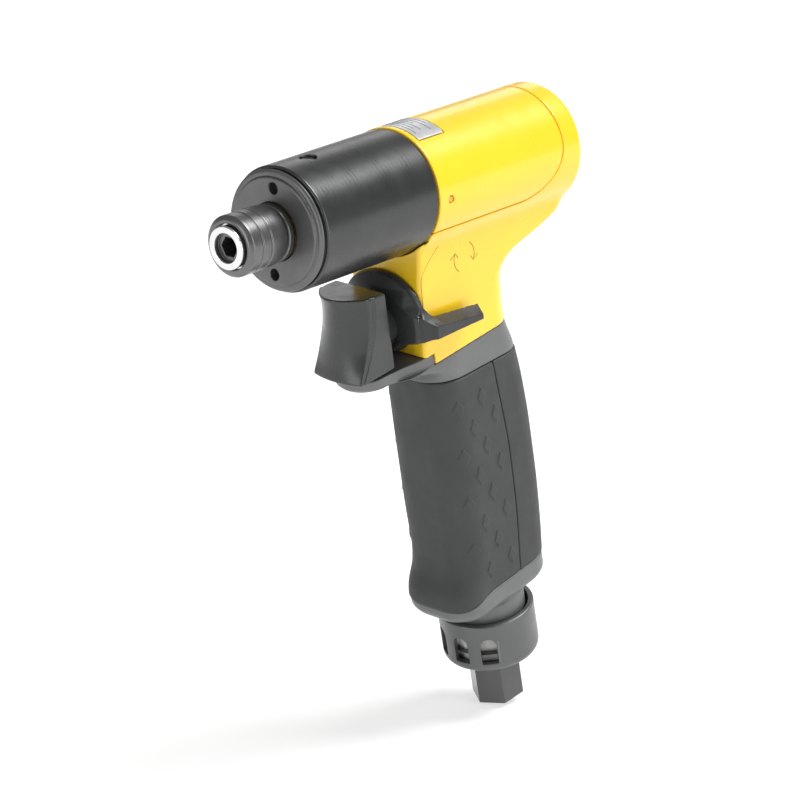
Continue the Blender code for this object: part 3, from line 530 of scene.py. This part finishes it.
def lower_field(x, y, z):
    """Lower shell: the rest of the barrel with the neck, hollow for the motor and the valves."""
    front = STEM_X + (z - STEM_Z) * math.tan(TILT)
    front = np.minimum(front, -56.2 + np.clip(-z - 8.0, 0, 9) * 0.4)
    radius = np.interp(z, [-60, -41, -29, -17], [11.0, 9.5, 9.0, 6.5])
    neck = rounded_rect(x, y, NECK_BACK(z), front, 16.0, radius, 1.8)
    d = smooth_min(barrel_field(x, y, z), smooth_max(neck, z + 6.0, 0.5), 2.2)
    d = smooth_max(d, BARREL_BACK - x, 0.4)
    u, w = to_handle(x, z)
    t, v = to_trigger(x, z)
    r = np.hypot(y, z)
    d = smooth_max(d, -w - collar_top(u), 0.5)
    d = cut(d, np.maximum(r - MOTOR_BORE, slab(x, MOTOR_BACK, -40.0)))
    d = smooth_max(d, SEAM_GAP - seam_field(x, z), 0.7)
    d = cut(d, np.maximum(r - 22.3, BARREL_FRONT - x), 0.3)
    d = cut(d, np.maximum(23.3 - u, w + 53.2), 0.3)
    d = cut(d, np.maximum(np.hypot(y, v) - 8.7, slab(t, -36.0, 5.0)))
    for passage, radius in ((0.0, 4.4), (-13.0, 3.0)):
        d = cut(d, np.maximum(np.hypot(u - passage, y) - radius, slab(w, -70.0, -12.0)))
    return d


def label_field(x, y, z):
    """Thin rating plate with rounded corners."""
    plan = smooth_max(*label_plan(x, y, z, -72.0, -59.0, 10.75), 1.2)
    return smooth_max(plan, slab(np.hypot(y, z), 22.1, BARREL_RADIUS), 0.2)


# ---------------------------------------------------------------- trigger and lever

TRIGGER_HALF, TRIGGER_LOW, TRIGGER_HIGH = 11.3, -12.5, 18.6
T_FRONT = profile(
    [
        (TRIGGER_LOW, 30.7), (-8, 29.4), (-2, 28.2), (4, 27.4), (10, 27.4), (14, 27.9),
        (16.6, 28.7), (TRIGGER_HIGH, 29.6),
    ],
    1.1,
)
T_CROWN = profile(
    [(TRIGGER_LOW, 0.014), (-4, 0.033), (5, 0.048), (12, 0.056), (TRIGGER_HIGH, 0.064)], 2.0
)


def trigger_field(t, y, v):
    """Concave up its front and crowned across it, with a crease where the front meets each flat
    side. It is hollow behind, with a boss for the stem."""
    crown = T_CROWN(v)
    front = (t - T_FRONT(v) + crown * y * y) / np.sqrt(1 + (2 * crown * y) ** 2)
    side = np.abs(y) - TRIGGER_HALF
    chamfer = 0.94 * side + 0.34 * front + 0.42
    d = smooth_max(smooth_max(side, front, 0.4), chamfer, 0.3)
    d = cut(d, np.hypot(front + 1.3, side) - 0.42, 0.2)
    back = 10.8 + 0.05 * (v - TRIGGER_LOW)
    d = smooth_max(d, back - t, 0.8)
    top = (v - 18.4 + 0.1 * (29.1 - t)) / 1.005
    d = smooth_max(smooth_max(d, top, 0.8), TRIGGER_LOW - v, 0.9)
    hollow = rounded_rect(t, y, 2.0, T_FRONT(v) - 2.4, 9.1, 0.5, 6.0)
    d = cut(d, np.maximum(hollow, slab(v, -10.2, 10.8)))
    d = np.minimum(d, rod(t, y, v, 14.0, 26.8, 4.6, 0.3))
    return cut(d, rod(t, y, v, 13.0, 18.0, 2.7, 0.1))


WING = [
    (5.5, 9.0), (4.4, 16.0), (0.4, 23.2), (-23.3, 23.7), (-25.0, 19.6), (-9.0, 18.6),
    (-2.0, 17.8), (0.5, 17.0), (0.5, 12.0),
]
NECK_FACE = 0.3  # the lever turns this far in front of the neck
NECK_SIDE = 17.5  # and its wings pass this far out


def lever_field(t, y, v):
    """Dished hub round the stem, wider below, with a tapered wing along each side of the neck."""
    r = np.hypot(y, v)
    fall = 180.0 - np.degrees(np.arctan2(np.abs(y), v))  # angle from straight down
    share = np.clip((fall - 50.0) / 35.0, 0, 1)
    rim = 12.1 + 6.4 * smooth_step(share) + 0.7 * np.clip(1 - np.abs(fall - 130.0) / 40.0, 0, 1)
    rise = np.clip((rim - r) / (rim - 9.4), 0, 1)
    face = t - 2.2 - 3.8 * np.sin(rise * math.pi / 2)
    on_slope = (rise < 1) * (rise > 0)
    hub = smooth_max(np.maximum(r - rim, NECK_FACE - t), face / (1 + 1.2 * on_slope), 0.9)
    plan = polygon(t, np.abs(y), WING)
    inner = 0.85 + 0.115 * (t + 25.0)
    slope = np.interp(t, [-24, 0], [0.7, 0.38])
    shoulder = (v - inner + slope * (np.abs(y) - 18.6)) / 1.15
    under = -2.9 + np.clip(t, -30, 1) * 0.062 - v
    wing = smooth_max(plan, smooth_max(v - inner, under, 0.5), 0.4)
    d = smooth_min(hub, smooth_max(wing, shoulder, 0.3), 5.5)
    d = smooth_max(d, NECK_FACE - t - 30 * (np.abs(y) > NECK_SIDE), 0.2)
    d = smooth_max(d, t - 5.5, 0.4)
    d = np.minimum(d, smooth_max(r - 8.4, slab(t, NECK_FACE, 10.4), 0.5))
    return cut(d, np.maximum(r - 6.3, slab(t, -2, 12)))


# ---------------------------------------------------------------- handle

GRIP_HALF = 16.6
CORE_LOW = 140.0  # below this the core of the grip is straight


def grip_station(u, w):
    """Station down the handle on planes that lean less towards the foot."""
    return (-w + 0.17719 * u) / (1 + 0.0011074 * u)


G_BACK = profile(
    [(66, -23.3), (70, -23.8), (80, -25.2), (98, -26.2), (125, -26.0), (144, -24.9), (160, -23.2)],
    4.0,
)
G_FRONT = profile(
    [
        (66, 22.0), (70, 22.3), (98, 23.0), (125, 23.4), (142, 23.0), (149, 24.2), (155, 28.0),
        (160, 28.7), (163, 28.7),
    ],
    1.8,
)
SEAM_U = profile([(60, -4.2), (75, -4.9), (103, -7.1), (130, -6.5), (157, -3.8), (170, -2.6)], 5.0)


def grip_section(u, y, station):
    """Outline of the rubber across the handle."""
    return rounded_rect(u, y, G_BACK(station), G_FRONT(station), GRIP_HALF, 11.5, 11.5)


def grip_core(u, y, station, inset, half):
    """Outline of the casting under the rubber."""
    low = np.minimum(station, CORE_LOW)
    return rounded_rect(u, y, G_BACK(low) + inset, G_FRONT(low) - inset, half, 8.0, 8.0)


def foot_line(u):
    """Station of the rubber's lower edge: it dips towards the front of the grip."""
    return 160.0 - 3.3 * smooth_step(np.clip((27.0 - u) / 17.0, 0, 1))


def grip_field(u, y, w):
    """The whole rubber grip: both pieces are cut from it."""
    station = grip_station(u, w)
    d = smooth_max(grip_section(u, y, station), slab(station, 70.0, foot_line(u)), 0.9)
    return cut(d, grip_core(u, y, station, 3.9, 12.7))


def diamonds(u, station):
    """Four columns of lozenges, every second one half a pitch lower."""
    half_width, half_height = 2.2, 3.8
    d = np.full(np.broadcast(u, station).shape, 1e3)
    for column in range(4):
        for row in range(4):
            cu = 15.6 - 5.9 * column + 0.6 * row
            cs = 80.1 + 9.8 * (column % 2) + 19.3 * row
            lozenge = np.abs(u - cu) / half_width + np.abs(station - cs) / half_height - 1
            d = np.minimum(d, lozenge * 1.9)
    return d


def sleeve_grip_field(u, y, w):
    """Front of the grip, with raised lozenges."""
    raised = 0.4
    d = smooth_max(grip_field(u, y, w), SEAM_U(-w) + SEAM_GAP - u, 0.5)
    proud = grip_section(u, y, grip_station(u, w))
    mark = smooth_max(diamonds(u, -w), slab(proud, -1.5, raised), 0.4)
    return smooth_min(d, mark, 0.3)


def back_grip_field(u, y, w):
    """Strip of rubber down the back of the grip."""
    return smooth_max(grip_field(u, y, w), u - SEAM_U(-w) + SEAM_GAP, 0.5)


C_BACK = profile(
    [(56, -20.1), (59, -20.5), (61.4, -21.0), (64, -21.6), (67, -22.4), (70, -23.2)], 1.2
)
C_FRONT = profile(
    [(55, 52.0), (57.5, 44.0), (59, 37.5), (61.4, 31.5), (64, 26.5), (67, 23.6), (70, 21.7)], 1.0
)
SHELF_TOP, SHELF_FOOT, SHELF_TIP = 53.5, 58.3, 11.2


def shelf_points():
    """Outline of the shelf under the trigger: it narrows to a round tip."""
    half = [(23.6, 15.7), (31.0, 14.2), (37.0, 12.2)]
    tip = [
        (42.0 + SHELF_TIP * math.cos(a), SHELF_TIP * math.sin(a))
        for a in np.radians(np.linspace(75, -75, 15))
    ]
    return half + tip + [(u, -y) for u, y in reversed(half)]


SHELF = shelf_points()


def frame_field(u, y, w):
    """Grey casting: the collar under the neck, its shelf, and the core inside the rubber."""
    s = -w
    half = 15.6 + 0.045 * (s - 57.5)
    collar = rounded_rect(u, y, C_BACK(s), C_FRONT(s), half, 10.5, 12.0)
    collar = smooth_max(collar, collar_top(u) + 2 * SEAM_GAP - s, 0.4)
    station = grip_station(u, w)
    collar = smooth_max(collar, station - 69.7, 0.5)
    shelf = polygon(u, y, SHELF) + np.clip(s - 56.6, 0, 3) * 0.9
    shelf = smooth_max(shelf, slab(s, SHELF_TOP, SHELF_FOOT), 0.7)
    d = np.maximum(smooth_min(collar, shelf, 1.6), SHELF_TOP - s)
    core = np.maximum(grip_core(u, y, station, 4.2, 12.4), slab(station, 68.0, 159.7))
    d = cut(np.minimum(d, core), np.hypot(u, y) - 8.8)
    way = np.maximum(slab(u, -16.5, 0.0), np.abs(y) - 3.5)
    return cut(d, np.maximum(way, slab(w, -67, -50)))


def cap_field(u, y, w):
    """Grey foot of the grip, with a neck for the exhaust ring."""
    s = -w
    inset = 0.3 + np.clip(s - 162.0, 0, 6) ** 2 * 0.11
    d = rounded_rect(u, y, -23.2 + inset, 28.2 - 1.3 * inset, GRIP_HALF - inset, 10.5, 11.0)
    d = smooth_max(d, slab(s, foot_line(u) + 0.3, 166.4), 0.9)
    r = np.hypot(u, y)
    d = smooth_min(d, smooth_max(r - 14.7, slab(s, 161.0, 174.8), 0.5), 1.8)
    return cut(d, r - 9.4, 0.4)


RING_RADIUS, RING_TOP, RING_FOOT = 17.8, 173.3, 193.2
WINDOW_HALF, WINDOW_TOP, WINDOW_FOOT = 3.0, 178.9, 189.3
INLET_FLAT, INLET_END = 8.5, 212.4  # 17 mm across flats


def ring_field(u, y, w):
    """Exhaust ring: a cup with five arched windows."""
    s, r = -w, np.hypot(u, y)
    d = smooth_max(r - RING_RADIUS, slab(s, RING_TOP, RING_FOOT), 0.8)
    d = smooth_max(d, bevel(r, RING_RADIUS, s, 191.4, 0.85, 1.31), 1.0)
    d = smooth_max(d, np.where(s < 190.6, 15.7, 9.5) - r, 0.4)
    for k in range(5):
        angle = math.radians(40.0 - 36.0 * k)
        out = u * math.cos(angle) + y * math.sin(angle)
        side = -u * math.sin(angle) + y * math.cos(angle)
        arch = smooth_max(np.abs(side) - WINDOW_HALF, slab(s, WINDOW_TOP, WINDOW_FOOT), 0.2)
        centre = WINDOW_TOP + WINDOW_HALF
        top = np.where(s < centre, np.hypot(side, s - centre) - WINDOW_HALF, -9.0)
        d = cut(d, np.maximum(np.maximum(arch, top), 12.0 - out), 0.35)
    return d


def inlet_field(u, y, w):
    """Hexagonal air inlet with a bevelled end and a stepped bore."""
    s, turn = -w, math.radians(-5.0)
    a = np.abs(u * math.cos(turn) + y * math.sin(turn))
    b = np.abs(-u * math.sin(turn) + y * math.cos(turn))
    slanted = a * math.cos(math.pi / 6) + b * 0.5 - INLET_FLAT
    d = smooth_max(smooth_max(b - INLET_FLAT, slanted, 0.3), slab(s, 193.6, INLET_END), 0.35)
    r = np.hypot(u, y)
    d = smooth_max(d, bevel(r, 9.75, s, 212.5, 1.6, 1.89), 0.3)
    d = np.minimum(d, smooth_max(r - 9.0, slab(s, 166.5, 194.7), 0.3))
    bore = np.where(s > 198.0, 5.75, np.where(s > 182.0, 5.0, 4.2))
    return smooth_max(d, bore + np.clip(s - 211.7, 0, 1) - r, 0.2)


# ---------------------------------------------------------------- pieces

# Name, field, box from and to, grid step, body, CAD node, material and slot.
ON_SPINDLE = [
    ("case_shell", case_field, (-56, -22, -22), (0, 22, 22), 0.36,
     "housing", "hammer_case", CASE, "black_case"),
    ("nose_plate", nose_field, (-12, -21.3, -21.3), (3.1, 21.3, 21.3), 0.36,
     "housing", "nose_cap", NOSE, "black_case"),
    ("chuck_collar", sleeve_field, (6.6, -10.7, -10.7), (24.8, 10.7, 10.7), 0.25,
     "sleeve", "chuck_sleeve", CHUCK, "dark_steel"),
    ("bit_spindle", anvil_field, (-47.5, -10.9, -10.9), (26.1, 10.9, 10.9), 0.32,
     "spindle", "anvil", CHUCK, "dark_steel"),
    ("spindle_face", face_field, (25.4, -7.6, -7.6), (26.5, 7.6, 7.6), 0.16,
     "spindle", None, STEEL, "bright_steel"),
    ("barrel_shell", upper_field, (-124, -22.4, -12), (-56.4, 22.4, 22.4), 0.5,
     "housing", "motor_housing", YELLOW, "yellow_shell"),
    ("neck_shell", lower_field, (-134.8, -22.4, -70), (-48, 22.4, 22.4), 0.5,
     "housing", "handle_housing", YELLOW, "yellow_shell"),
    ("rating_plate", label_field, (-72, -11, 19), (-59, 11, 22.5), 0.2,
     "housing", "label_plate", FOIL, "label_foil"),
]
ON_TRIGGER = [
    ("finger_trigger", trigger_field, (10, -11.3, -12.5), (31, 11.3, 18.6), 0.3,
     "trigger_unit", "trigger", TRIGGER_GREY, "trigger_plastic"),
    ("direction_lever", lever_field, (-25, -23.7, -19), (10.4, 23.7, 20), 0.4,
     "reverse_unit", "reverse_lever", BLACK, "black_plastic"),
]
ON_HANDLE = [
    ("frame_casting", frame_field, (-27, -17, -165), (53.2, 17, -53.5), 0.5,
     "housing", "handle_frame", CAST, "cast_alloy"),
    ("grip_front", sleeve_grip_field, (-8, -17.1, -166), (29, 17.1, -65), 0.45,
     "housing", "grip_sleeve", RUBBER, "grip_rubber"),
    ("grip_strip", back_grip_field, (-27, -16.6, -166), (-2, 16.6, -65), 0.45,
     "housing", "grip_back", RUBBER, "grip_rubber"),
    ("foot_cap", cap_field, (-23.2, -16.6, -174.8), (28.2, 16.6, -156.5), 0.4,
     "housing", "base_cap", CAST, "cast_alloy"),
    ("exhaust_swivel", ring_field, (-17.8, -17.8, -193.2), (17.8, 17.8, -173.3), 0.32,
     "exhaust_unit", "exhaust_ring", SWIVEL, "cast_alloy"),
    ("hex_inlet", inlet_field, (-9.9, -9.9, -212.5), (9.9, 9.9, -166.5), 0.32,
     "housing", "air_inlet", GUNMETAL, "dark_steel"),
]
for place, rows in ((SPINDLE, ON_SPINDLE), (TRIGGER, ON_TRIGGER), (HANDLE, ON_HANDLE)):
    for name, field, low, high, step, body, node, material, slot in rows:
        made(name, field, low, high, step, place, body, node, material)

spring("chuck_coil", "chuck_spring", "sleeve")
spring("valve_coil", "valve_spring", "trigger_unit")


def rotation_mark():
    """Plain rotation arrow beside the lever: two arcs of one circle, each with a barbed end."""
    centre_x, centre_z, radius, fine = -76.3, -25.3, 5.4, 0.27
    out = 16.0 - fine * 0.45  # the neck's flat side, with the line half sunk in it

    def spot(share, angle):
        r, a = radius * share, math.radians(angle)
        return centre_x + r * math.cos(a), out, centre_z + r * math.sin(a)

    for name, start, end in (("fore", -60, 25), ("aft", 120, 205)):
        arc = [spot(1.0, a) for a in np.linspace(start, end, 14)]
        barb = [spot(0.62, end - 18), spot(1.0, end), spot(1.38, end - 22)]
        # The real arrow is engraved; it is drawn raised, and its darker yellow is painted shade of
        # the groove.
        raised_line(f"arrow_{name}", arc, fine, PAINTED_LINE_SHADE)
        raised_line(f"arrow_{name}_barb", barb, fine, PAINTED_LINE_SHADE)


def label_lines():
    """Plain ruled lines round the plate, where a rating plate has its rows."""
    first_x, pitch, left, rights = -60.9, 1.85, -21, (20, 12, 17, 4, 20, 9)
    radius, fine = 22.36, 0.13
    for k, right in enumerate(rights):
        x = first_x - pitch * k
        angles = np.radians(np.linspace(left, right, 16))
        spots = [(x, radius * math.sin(a), radius * math.cos(a)) for a in angles]
        raised_line(f"label_rule_{k}", spots, fine, INK)


def neck_edges():
    """The fine parting line behind each front corner of the neck, which curves back under the
    barrel."""
    behind, swing, curve_z, curve_span, sunk = 1.1, 10.2, -28.0, 11, 0.06
    for side, name in ((-1, "right"), (1, "left")):
        z = np.linspace(-50, -18, 33)
        corner = np.minimum(STEM_X + (z - STEM_Z) * math.tan(TILT), -52.6)
        share = np.clip(z - curve_z, 0, curve_span) / curve_span
        x = corner - behind - swing * share**1.5
        spots = settled(lower_field, np.stack([x, side * 15.8 + 0 * z, z], 1), 0.5, 8)
        spots[:, 1] -= side * sunk
        # Drawn in the darker yellow, which paints the shade along the parting line.
        raised_line(f"neck_line_{name}", spots.tolist(), 0.15, PAINTED_LINE_SHADE)


rotation_mark()
label_lines()
neck_edges()

slots = {part["node"]: part["material_slot"] for part in frame["record"]["subparts"]}
for name, node in NODES.items():
    node.data.materials.clear()
    node.data.materials.append(AMBER if name == "locating_pin" else BY_SLOT[slots[name]])


# ---------------------------------------------------------------- studio


def added(name, data):
    """An object in the scene that isn't a piece."""
    obj = bpy.data.objects.new(name, data)
    bpy.context.scene.collection.objects.link(obj)
    return obj


def area_light(name, place, aim, size, power):
    """A soft rectangular light that the camera doesn't see."""
    light = bpy.data.lights.new(name, "AREA")
    light.shape = "RECTANGLE"
    light.size, light.size_y = size
    light.energy = power
    obj = added(name, light)
    obj.location = place
    obj.rotation_euler = (Vector(aim) - Vector(place)).to_track_quat("-Z", "Y").to_euler()
    obj.visible_camera = False


def pale_floor():
    """A wide floor just under the tool. Its soft glow keeps the shadow faint."""
    reach, drop, glow = 8, 0.0005, 0.6
    corners = [(-reach, -reach, 0), (reach, -reach, 0), (reach, reach, 0), (-reach, reach, 0)]
    mesh = bpy.data.meshes.new("floor")
    mesh.from_pydata(corners, [], [(0, 1, 2, 3)])
    floor = added("floor", mesh)
    floor.location.z = -drop
    pale = finish("pale_floor", (0.5, 0.5, 0.498), 0.8, vary=0.01, grain=0.05, grain_mm=2.0)
    shader = pale.node_tree.nodes["Principled BSDF"].inputs
    shader["Emission Color"].default_value = (1, 1, 1, 1)
    shader["Emission Strength"].default_value = glow
    mesh.materials.append(pale)


def studio():
    """White surroundings, three soft lights and a wide sun from above."""
    scene = bpy.context.scene
    scene.view_settings.view_transform = "Standard"
    pale_floor()
    world = bpy.data.worlds.new("studio")
    world.use_nodes = True
    background = world.node_tree.nodes["Background"].inputs
    background["Color"].default_value = (1, 1, 1, 1)
    background["Strength"].default_value = 0.3
    scene.world = world
    middle = (0, 0, 0.13)
    area_light("left_key", (-0.2, 1.6, 0.6), middle, (1.0, 1.1), 9.5)
    area_light("right_rim", (-1.05, -0.95, 0.75), middle, (0.9, 0.45), 1.6)
    area_light("nose_fill", (1.3, -0.2, 0.45), middle, (0.5, 0.8), 4.0)
    sun = bpy.data.lights.new("overhead", "SUN")
    sun.energy, sun.angle = 3.3, math.radians(28)
    downwards = Vector((0.45, -0.3, -0.84))
    added("overhead", sun).rotation_euler = downwards.to_track_quat("-Z", "Y").to_euler()


def camera():
    """A long lens at the front left, a little above the tool."""
    lens = bpy.data.cameras.new("camera")
    lens.lens, lens.sensor_width, lens.clip_end = 180.1, 36.0, 30.0
    obj = added("camera", lens)
    back = Vector((0.7053, 0.6187, 0.3461)).normalized()
    right = Vector((-0.2647, -0.2230, 0.9382)).cross(back).normalized()
    up = back.cross(right)
    spot = Matrix.Translation((0.98615, 0.8704, 0.61965))
    obj.matrix_world = spot @ Matrix((right, up, back)).transposed().to_4x4()
    bpy.context.scene.camera = obj


studio()
camera()
